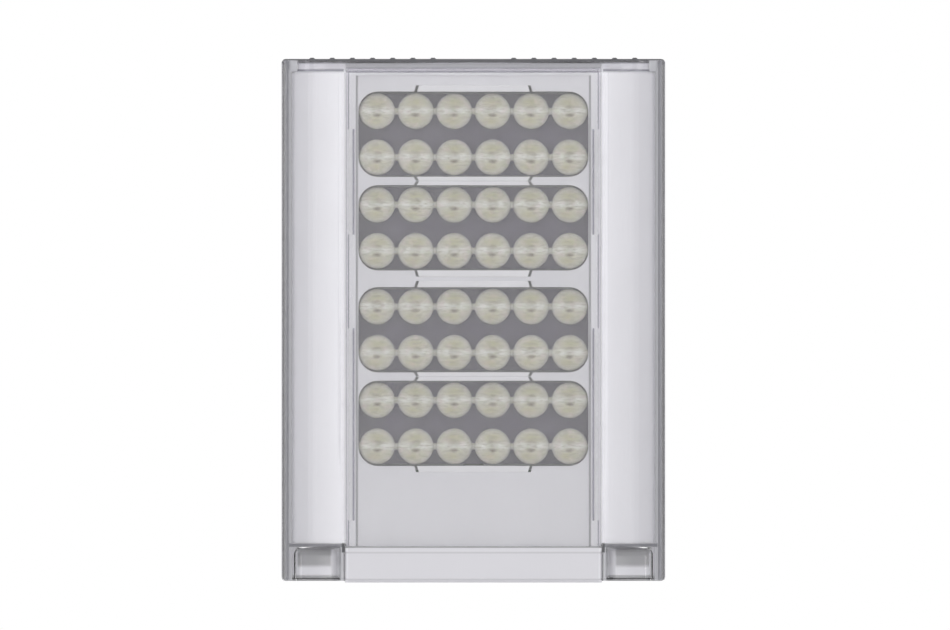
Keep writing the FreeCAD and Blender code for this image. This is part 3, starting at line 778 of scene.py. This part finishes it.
class WALLLIGHT_OT_gasket(bpy.types.Operator):
    """Cuts the flat gasket under the cover's edge, bowed along the top as the cover is"""
    bl_idname = "wall_light.gasket"
    bl_label = "Gasket"

    def execute(self, context):
        low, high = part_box("cover_gasket")
        plate = box(low.x, high.x, low.y - FRONT, high.y - FRONT, low.z, high.z)
        # Split down the middle, so that no face runs right round the hole.
        bmesh.ops.bisect_plane(
            plate, geom=plate.verts[:] + plate.edges[:] + plate.faces[:],
            plane_co=(0, 0, 0), plane_no=(1, 0, 0),
        )
        gasket = as_object("gasket", plate)
        hole = rounded_plate(0.2216, 0.3046, 0.002, 0.02, 0.025, 0.0)
        combine(gasket, "DIFFERENCE", above_bow(), hole)
        round_edges(gasket, 0.0002)
        silicone = speckled("gasket_silicone", tuple(colours().gasket), 0.7, 700.0, 0.00004, 0.05)
        place(gasket, "lamp", "black_rubber", silicone, "cover_gasket")
        return {"FINISHED"}


class WALLLIGHT_OT_panes(bpy.types.Operator):
    """Moulds the four diffusing panes and the lugs that clip them into the bezel"""
    bl_idname = "wall_light.panes"
    bl_label = "Window panes"

    def execute(self, context):
        bm = bmesh.new()
        for z in WINDOW_HEIGHTS:
            add_to(bm, rounded_plate(0.1372, 0.0507, 0.0115, 0.0097, 0.0109, z))
        panes = as_object("window_panes_detailed", bm)
        round_edges(panes, 0.0003)
        tint, roughness = tuple(colours().pane), sizes().pane_roughness
        diffuser = clear("diffusing_pane", tint, roughness, 400.0, 0.0001, 1.3)
        place(panes, "lamp", "pane_plastic", diffuser.material, "window_panes")
        tabs = bmesh.new()
        for foot, tip in lug_spans():
            corners = [(-0.0338, foot), (0.0338, foot), (0.0326, tip), (-0.0326, tip)]
            add_to(tabs, swept([at(x, 0.0094, z) for x, z in corners], (0, 0.0012, 0)))
        lugs = as_object("pane_lugs", tabs)
        round_edges(lugs, 0.0003)
        lug_paint = speckled("lug_silver", srgb(240, 239, 244), 0.4, 900.0, 0.00002, 0.01)
        place(lugs, "lamp", "pane_plastic", lug_paint)
        return {"FINISHED"}


def add_to(bm, other):
    """Adds another bmesh's shape."""
    mesh = bpy.data.meshes.new("part")
    other.to_mesh(mesh)
    other.free()
    bm.from_mesh(mesh)
    bpy.data.meshes.remove(mesh)


def lens_rows():
    """The middles of the lenses, row by row, from the LEDs that the frame holds."""
    columns, half_led = 6, 0.0035
    for node in each("led_packages"):
        low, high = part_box(node)
        start, pitch = low.x + half_led, (high.x - low.x - 2 * half_led) / (columns - 1)
        for z in (low.z + half_led, high.z - half_led):
            yield [Vector((start + column * pitch, FRONT, z)) for column in range(columns)]


def lens_web(left, right, depth):
    """The moulded web between two lenses of a row."""
    reach, half, thickness = LENS_RADIUS - 0.0005, 0.0020, 0.0012
    web = box(
        left.x + reach, right.x - reach, depth, depth + thickness, left.z - half, left.z + half
    )
    rounded(web, web.edges[:], 0.0003, 2)
    map_face(web, lambda point: (1.0, (point.z - left.z) / LENS_RADIUS))
    return web


def map_face(bm, on_face):
    """Adds the UV map that the lens finish reads: -1 to 1 across a lens and up it."""
    uv = bm.loops.layers.uv.new("lens_face")
    for face in bm.faces:
        for loop in face.loops:
            loop[uv].uv = on_face(loop.vert.co)


class WALLLIGHT_OT_collimators(bpy.types.Operator):
    """Turns the moulded collimator lenses, one over each LED, and joins each row with webs"""
    bl_idname = "wall_light.collimators"
    bl_label = "Collimator lenses"

    def execute(self, context):
        front, back = 0.0124, 0.025
        dished_face = [
            (0.0, front + 0.0009), (0.0022, front + 0.0007), (0.0034, front + 0.0001),
            (0.0038, front), (0.0100, front), (0.0106, front + 0.0003),
        ]
        cone = [
            (LENS_RADIUS, front + 0.0008), (LENS_RADIUS, front + 0.0018), (0.0098, front + 0.0024),
            (0.0078, front + 0.0066), (0.0052, front + 0.0104), (0.0037, back - 0.0004),
            (0.0033, back), (0.0, back),
        ]
        lens = bmesh.new()
        verts = [lens.verts.new((radius, depth, 0)) for radius, depth in dished_face + cone]
        edges = [lens.edges.new(pair) for pair in zip(verts, verts[1:])]
        bmesh.ops.spin(
            lens, geom=verts + edges, cent=(0, 0, 0), axis=(0, 1, 0), angle=2 * math.pi,
            steps=32, use_merge=True,
        )
        bmesh.ops.remove_doubles(lens, verts=lens.verts, dist=1e-6)
        bmesh.ops.recalc_face_normals(lens, faces=lens.faces)
        map_face(lens, lambda point: (point.x / LENS_RADIUS, point.z / LENS_RADIUS))
        mesh = bpy.data.meshes.new("lens")
        lens.to_mesh(mesh)
        lens.free()
        bm = bmesh.new()
        for row in lens_rows():
            for centre in row:
                start = len(bm.verts)
                bm.from_mesh(mesh)
                bm.verts.ensure_lookup_table()
                bmesh.ops.translate(bm, verts=bm.verts[start:], vec=centre)
            for pair in zip(row, row[1:]):
                add_to(bm, lens_web(*pair, front + 0.0010))
        bpy.data.meshes.remove(mesh)
        lenses = as_object("collimators", bm)
        for face in lenses.data.polygons:
            face.use_smooth = True
        lenses.data.set_sharp_from_angle(angle=math.radians(40))
        place(lenses, "lamp", "lens_plastic", lens_material(), "collimator_lenses")
        return {"FINISHED"}


def lens_material():
    """Milky lens plastic with painted reflections of the unlit LED: its yellow spread over the
    disc, a painted highlight in a level band with a lobe at either side, and painted shade in
    smudges above and below it, in a dark spot under the middle and round the rim. Level streaks and
    faint pink and green patches differ from lens to lens."""
    finish = Finish("lens_plastic", tuple(colours().lens), 0.25, Coat_Weight=0.3)
    uv = finish.node("UVMap", uv_map="lens_face").outputs[0]
    parts = finish.node("SeparateXYZ", {"Vector": uv})
    across, up = parts.outputs["X"], parts.outputs["Y"]

    def spot(x, y, width, height):
        """1 at a place on the disc, falling to 0 over an ellipse."""
        moved = finish.node("Mapping", {
            "Vector": uv, "Location": (-x / width, -y / height, 0),
            "Scale": (1 / width, 1 / height, 1),
        })
        return finish.node("MapRange", {
            "Value": distance(moved.outputs[0]), "From Min": 1.0, "From Max": 0.0,
        }, interpolation_type="SMOOTHSTEP").outputs["Result"]

    def distance(place):
        return finish.node("VectorMath", {0: place}, operation="LENGTH").outputs["Value"]

    pinkish = finish.between(finish.noise(260.0, 2.0), 0.5, 0.75, 0.0, 0.35)
    greenish = finish.between(finish.noise(190.0, 2.0), 0.5, 0.75, 0.0, 0.35)
    streaks = finish.between(finish.noise(230.0, 3.0, (1, 1, 3.5)), 0.46, 0.66, 0.0, 0.65)
    # Painted shade round the rim.
    rim_shade = finish.between(distance(uv), 0.84, 1.0, 0.0, 0.75)
    colour = srgb(206, 202, 192)
    # Painted reflections of the unlit LED: yellow over the disc, darker smudges, a highlight band
    # with a lobe at either side, and a dark spot under the middle.
    for where, rgb in (
        (spot(0.0, 0.0, 1.35, 1.35), (228, 224, 192)),
        (spot(0.0, 0.5, 0.8, 0.35), (206, 202, 158)),
        (spot(-0.15, -0.55, 0.7, 0.32), (208, 202, 160)),
        (spot(0.0, 0.24, 0.5, 0.15), (188, 180, 150)),
        (rim_shade, (142, 139, 142)),
        (spot(0.0, 0.02, 2.2, 0.32), (234, 233, 220)),
        (spot(-0.5, 0.03, 0.45, 0.3), (255, 254, 242)),
        (spot(0.5, 0.03, 0.45, 0.3), (255, 254, 242)),
        (streaks, (184, 178, 154)),
        (pinkish, (240, 218, 214)),
        (greenish, (206, 212, 170)),
        (spot(0.0, -0.22, 0.36, 0.17), (146, 134, 112)),
    ):
        colour = finish.blend(where, colour, srgb(*rgb))
    finish.paint(colour)
    finish.relief(finish.noise(700.0, 2.0, (1, 1, 3)), 0.00004)
    return finish.material


class WALLLIGHT_OT_stage(bpy.types.Operator):
    """Adds the camera, the lamps, the floor and the white surroundings"""
    bl_idname = "wall_light.stage"
    bl_label = "Stage"

    def execute(self, context):
        add_camera()
        add_surroundings()
        add_graded_softbox("left", -1, (1.86, 1.8, 1.6, 1.32, 1.08, 0.96))
        add_graded_softbox("right", 1, (1.36, 1.15, 1.02, 0.90, 0.80, 0.72))
        add_lamp("top_lamp", (0.0, -1.2, 2.2), (1.8, 1.2), 1.6)
        add_lamp("rear_lamp", (1.3, 2.4, 1.4), (1.6, 1.2), 2.0)
        add_floor()
        context.scene.view_settings.view_transform = "Standard"
        return {"FINISHED"}


def add_camera():
    """A long lens straight in front, shifted so that the light's middle is where the picture has
    it."""
    data = bpy.data.cameras.new("camera")
    camera = bpy.data.objects.new("camera", data)
    bpy.context.scene.collection.objects.link(camera)
    distance, width = sizes().camera_distance, sizes().frame_width
    metre_per_pixel = width / PICTURE_WIDTH
    right = (PICTURE_WIDTH / 2 - MIDDLE_COLUMN) * metre_per_pixel
    up = (MIDDLE_ROW - PICTURE_HEIGHT / 2) * metre_per_pixel
    camera.location = (right, FRONT - distance, up)
    camera.rotation_euler = (math.radians(90), 0, 0)
    data.lens = data.sensor_width * distance / width
    data.clip_start, data.clip_end = 0.05, 60.0
    bpy.context.scene.camera = camera


def add_surroundings():
    """Soft light all round. The camera and clear plastic see it as the white backdrop, and gloss
    does so behind the light and fades towards the camera's side."""
    world = bpy.data.worlds.new("studio")
    bpy.context.scene.world = world
    world.use_nodes = True
    nodes, links = world.node_tree.nodes, world.node_tree.links
    path = nodes.new("ShaderNodeLightPath")
    soft, white = nodes["Background"], nodes.new("ShaderNodeBackground")
    soft.inputs["Color"].default_value = (1, 1, 1, 1)
    soft.inputs["Strength"].default_value = 0.70
    white.inputs["Color"].default_value = (*colours().backdrop, 1)
    white.inputs["Strength"].default_value = 1.0

    def join(operation, first, second):
        node = nodes.new("ShaderNodeMath")
        node.operation = operation
        for socket, value in zip(node.inputs, (first, second)):
            if isinstance(value, bpy.types.NodeSocket):
                links.new(value, socket)
            else:
                socket.default_value = value
        return node.outputs[0]

    toward = nodes.new("ShaderNodeSeparateXYZ")
    links.new(nodes.new("ShaderNodeTexCoord").outputs["Generated"], toward.inputs[0])
    backdrop = nodes.new("ShaderNodeMapRange")
    links.new(toward.outputs["Y"], backdrop.inputs["Value"])
    backdrop.inputs["From Min"].default_value = -0.9
    backdrop.inputs["From Max"].default_value = 0.3
    mirrored = join("MULTIPLY", path.outputs["Is Glossy Ray"], backdrop.outputs[0])
    seen = join("MAXIMUM", path.outputs["Is Camera Ray"], path.outputs["Is Transmission Ray"])
    seen = join("MAXIMUM", seen, mirrored)
    seen = join("MULTIPLY", seen, join("LESS_THAN", path.outputs["Diffuse Depth"], 0.5))
    mix = nodes.new("ShaderNodeMixShader")
    links.new(seen, mix.inputs[0])
    links.new(soft.outputs[0], mix.inputs[1])
    links.new(white.outputs[0], mix.inputs[2])
    links.new(mix.outputs[0], nodes["World Output"].inputs["Surface"])


def add_graded_softbox(name, side, brightness):
    """Upright strips side by side, brightest next to the camera."""
    edges, distance, height = (0.15, 0.35, 0.57, 0.82, 1.1, 1.42, 1.85), 2.9, 1.6
    for start, end, bright in zip(edges, edges[1:], brightness):
        place = (side * (start + end) / 2, -distance, 0.15)
        add_lamp(f"{name}_lamp", place, (end - start, height), bright)


def add_lamp(name, place, size, brightness):
    """A soft lamp that faces the light. The backdrop has a brightness of 1."""
    data = bpy.data.lights.new(name, "AREA")
    data.shape = "RECTANGLE"
    data.size, data.size_y = size
    data.energy = brightness * math.pi * data.size * data.size_y
    lamp = bpy.data.objects.new(name, data)
    bpy.context.scene.collection.objects.link(lamp)
    lamp.location = place
    aim = Vector((0, FRONT, 0)) - lamp.location
    lamp.rotation_euler = aim.to_track_quat("-Z", "Y").to_euler()


def add_floor():
    bm = bmesh.new()
    bmesh.ops.create_grid(bm, x_segments=1, y_segments=1, size=2.5)
    bmesh.ops.translate(bm, verts=bm.verts, vec=(0, 0, CAD_BOX[0].z - sizes().floor_drop))
    floor = as_object("floor", bm)
    floor.data.materials.append(floor_material())


def floor_material():
    """Pale paint that shows the shadow. A glossy surface reflects it as the white backdrop."""
    finish = Finish("floor_paint", (0.86, 0.86, 0.87), 0.8)
    finish.relief(finish.noise(60.0, 2.0), 0.0002)
    white = finish.node("Emission", {"Color": (1, 1, 1, 1), "Strength": 1.0})
    path = finish.node("LightPath")
    depths = path.outputs["Glossy Depth"], path.outputs["Diffuse Depth"]
    reflected = finish.node("Math", {0: depths[0], 1: 0.5}, operation="GREATER_THAN")
    no_light_yet = finish.node("Math", {0: depths[1], 1: 0.5}, operation="LESS_THAN")
    share = finish.sum_up("MULTIPLY", reflected.outputs[0], no_light_yet.outputs[0])
    mix = finish.node("MixShader", {0: share, 1: finish.shader.outputs[0], 2: white.outputs[0]})
    finish.links.new(mix.outputs[0], finish.output.inputs["Surface"])
    return finish.material


def housing_material():
    """Textured paint on the casting, bare machined metal on the face and hollow under the cover."""
    paint, bare = tuple(colours().housing), tuple(colours().bare_metal)
    finish = Finish("housing_paint", paint, 0.5)
    across, up, back = finish.distance_across(), finish.coordinate("Z"), finish.coordinate("Y")
    inside = finish.sum_up(
        "MULTIPLY", finish.within(across, -0.1149, 0.1149), finish.within(up, -0.1563, 0.1538),
        finish.within(back, FRONT, FRONT + 0.0284),
    )
    coat = finish.mottled(paint, 0.07)
    tool_marks = finish.noise(60.0, 3.0, (1, 1, 12))
    machined = finish.blend(tool_marks, shade(bare, 0.92), shade(bare, 1.05))
    finish.paint(finish.blend(inside, coat, machined))
    finish.relief(finish.noise(420.0, 3.0), 0.00012)
    return finish.material


class WALLLIGHT_OT_castings(bpy.types.Operator):
    """Rounds the edges of the rear housing, the wall bracket, the tilt bolt and the cable gland"""
    bl_idname = "wall_light.castings"
    bl_label = "Housing, bracket and gland"

    def execute(self, context):
        c = colours()
        zinc = speckled("zinc_plate", srgb(190, 190, 186), 0.32, 700.0, 0.00003, 0.08, Metallic=0.9)
        black = speckled("black_moulding", BLACK, 0.5, 600.0, 0.00003, 0.2)
        coat = speckled("bracket_coat", tuple(c.bracket), 0.5, 600.0, 0.00008, 0.05)
        for node, width, body, slot, material in (
            ("rear_housing", 0.0005, "lamp", "housing_paint", housing_material()),
            ("wall_bracket", 0.0006, "wall_bracket", "bracket_paint", coat),
            ("pivot_bolt", 0.0003, "wall_bracket", "zinc", zinc),
            ("pivot_nut", 0.0003, "wall_bracket", "zinc", zinc),
            ("gland_body", 0.0003, "lamp", "gland_plastic", black),
            ("gland_nut", 0.0003, "lamp", "gland_plastic", black),
        ):
            place(softened(node, width), body, slot, material, node)
        return {"FINISHED"}


class WALLLIGHT_OT_hardware(bpy.types.Operator):
    """Adds the washers of the tilt bolt and the screws that hold the cover from behind"""
    bl_idname = "wall_light.hardware"
    bl_label = "Washers and screws"

    def execute(self, context):
        low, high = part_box("wall_bracket")
        bolt_low, bolt_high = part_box("pivot_bolt")
        pivot_y, pivot_z = (bolt_low.y + bolt_high.y) / 2, (bolt_low.z + bolt_high.z) / 2
        bm = bmesh.new()
        for x, thickness in ((low.x, -0.0013), (high.x, 0.0013)):
            add_to(bm, disc_ring(0.0077, 0.0112, x, x + thickness, pivot_y, pivot_z))
        washers = as_object("bolt_washers", bm)
        round_edges(washers, 0.0002)
        zinc = speckled(
            "washer_zinc", srgb(196, 196, 192), 0.36, 600.0, 0.00003, 0.1, Metallic=0.9
        )
        place(washers, "wall_bracket", "zinc", zinc)
        column, rows = 0.1119, (-0.14, -0.07, 0.0, 0.07, 0.14)
        flange_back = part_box("rear_housing")[0].y + 0.005
        places = [(side * column, z) for side in (1, -1) for z in rows]
        screws = as_object("cover_screws", screw_heads(places, flange_back))
        round_edges(screws, 0.00025, 2)
        steel = speckled(
            "screw_steel", srgb(176, 176, 174), 0.3, 800.0, 0.00002, 0.1, Metallic=0.95
        )
        place(screws, "lamp", "zinc", steel)
        return {"FINISHED"}


def disc_ring(inner, outer, x0, x1, y, z):
    """A flat ring across the x axis."""
    bm = bmesh.new()
    for radius in (inner, outer):
        bmesh.ops.create_circle(bm, cap_ends=False, radius=radius, segments=48)
    extrude(bm, bmesh.ops.bridge_loops(bm, edges=bm.edges[:])["faces"], (0, 0, x1 - x0))
    bmesh.ops.rotate(bm, verts=bm.verts, matrix=Matrix.Rotation(math.radians(90), 3, "Y"))
    bmesh.ops.translate(bm, verts=bm.verts, vec=(x0, y, z))
    bmesh.ops.recalc_face_normals(bm, faces=bm.faces)
    return bm


def screw_heads(places, y, radius=0.0023, height=0.0015):
    """Pan heads facing backwards, each with a cross recess."""
    head = bmesh.new()
    bmesh.ops.create_cone(
        head, cap_ends=True, segments=24, radius1=radius, radius2=radius * 0.8, depth=height
    )
    bmesh.ops.rotate(head, verts=head.verts, matrix=Matrix.Rotation(math.radians(-90), 3, "X"))
    bmesh.ops.translate(head, verts=head.verts, vec=(0, height / 2, 0))
    piece = as_object("screw_head", head)
    long, narrow = 0.0013, 0.00028
    for length, width in ((long, narrow), (narrow, long)):
        bar = box(-length, length, 0.0, 0.002, -width, width)
        bmesh.ops.translate(bar, verts=bar.verts, vec=(0, height * 0.4 - FRONT, 0))
        combine(piece, "DIFFERENCE", bar)
    bm = bmesh.new()
    for x, z in places:
        start = len(bm.verts)
        bm.from_mesh(piece.data)
        bm.verts.ensure_lookup_table()
        bmesh.ops.translate(bm, verts=bm.verts[start:], vec=(x, y, z))
    bpy.data.objects.remove(piece)
    return bm


class WALLLIGHT_OT_finishes(bpy.types.Operator):
    """Gives every CAD node that stays its material"""
    bl_idname = "wall_light.finishes"
    bl_label = "Finishes"

    def execute(self, context):
        c = colours()
        copper = speckled(
            "choke_winding", srgb(176, 98, 52), 0.35, 500.0, 0.0001, 0.2, Metallic=0.8
        )
        dress("filter_choke", copper)
        for name, colour, roughness, grain, depth, spread, *nodes in (
            ("rubber", c.rubber, 0.75, 700.0, 0.00004, 0.15, "gland_seal"),
            ("phosphor", c.phosphor, 0.5, 900.0, 0.00003, 0.1, *each("led_packages")),
            ("led_board_mask", c.led_board, 0.45, 300.0, 0.00003, 0.08, *each("led_board")),
            ("driver_mask", c.driver_board, 0.4, 300.0, 0.00003, 0.12, "driver_board"),
            ("thermal_pad", srgb(150, 164, 182), 0.85, 500.0, 0.00005, 0.05, *each("thermal_pad")),
            ("black_moulding", BLACK, 0.5, 600.0, 0.00003, 0.2, "power_transistors"),
            ("winding_tape", srgb(196, 168, 60), 0.4, 200.0, 0.00004, 0.1, "transformer"),
            ("terminal_plastic", srgb(52, 120, 76), 0.45, 500.0, 0.00003, 0.1, "input_terminal"),
            ("connector_plastic", srgb(222, 216, 200), 0.45, 500.0, 0.00003, 0.05,
             "output_connector"),
            ("fuse_ceramic", srgb(216, 208, 190), 0.6, 500.0, 0.00003, 0.05, "input_fuse"),
            ("capacitor_sleeve", srgb(28, 32, 52), 0.35, 300.0, 0.00002, 0.2,
             "smoothing_capacitor"),
        ):
            material = speckled(name, tuple(colour), roughness, grain, depth, spread)
            for node in nodes:
                dress(node, material)
        return {"FINISHED"}


class WALLLIGHT_PT_sidebar(bpy.types.Panel):
    bl_idname = "WALLLIGHT_PT_sidebar"
    bl_label = "Wall Light"
    bl_space_type = "VIEW_3D"
    bl_region_type = "UI"
    bl_category = "Wall Light"

    def draw(self, context):
        for operator in OPERATORS:
            self.layout.operator(operator.bl_idname)


OPERATORS = (
    WALLLIGHT_OT_stage,
    WALLLIGHT_OT_cover,
    WALLLIGHT_OT_insert,
    WALLLIGHT_OT_gasket,
    WALLLIGHT_OT_bezel,
    WALLLIGHT_OT_panes,
    WALLLIGHT_OT_collimators,
    WALLLIGHT_OT_castings,
    WALLLIGHT_OT_hardware,
    WALLLIGHT_OT_finishes,
)
CLASSES = (WallLightColours, WallLightSizes, *OPERATORS, WALLLIGHT_PT_sidebar)


def register():
    for cls in CLASSES:
        bpy.utils.register_class(cls)
    bpy.types.Scene.wall_light_colours = PointerProperty(type=WallLightColours)
    bpy.types.Scene.wall_light_sizes = PointerProperty(type=WallLightSizes)


def unregister():
    del bpy.types.Scene.wall_light_sizes
    del bpy.types.Scene.wall_light_colours
    for cls in reversed(CLASSES):
        bpy.utils.unregister_class(cls)


def main():
    register()
    for operator in OPERATORS:
        group, name = operator.bl_idname.split(".")
        getattr(getattr(bpy.ops, group), name)()


if __name__ == "__main__":
    main()
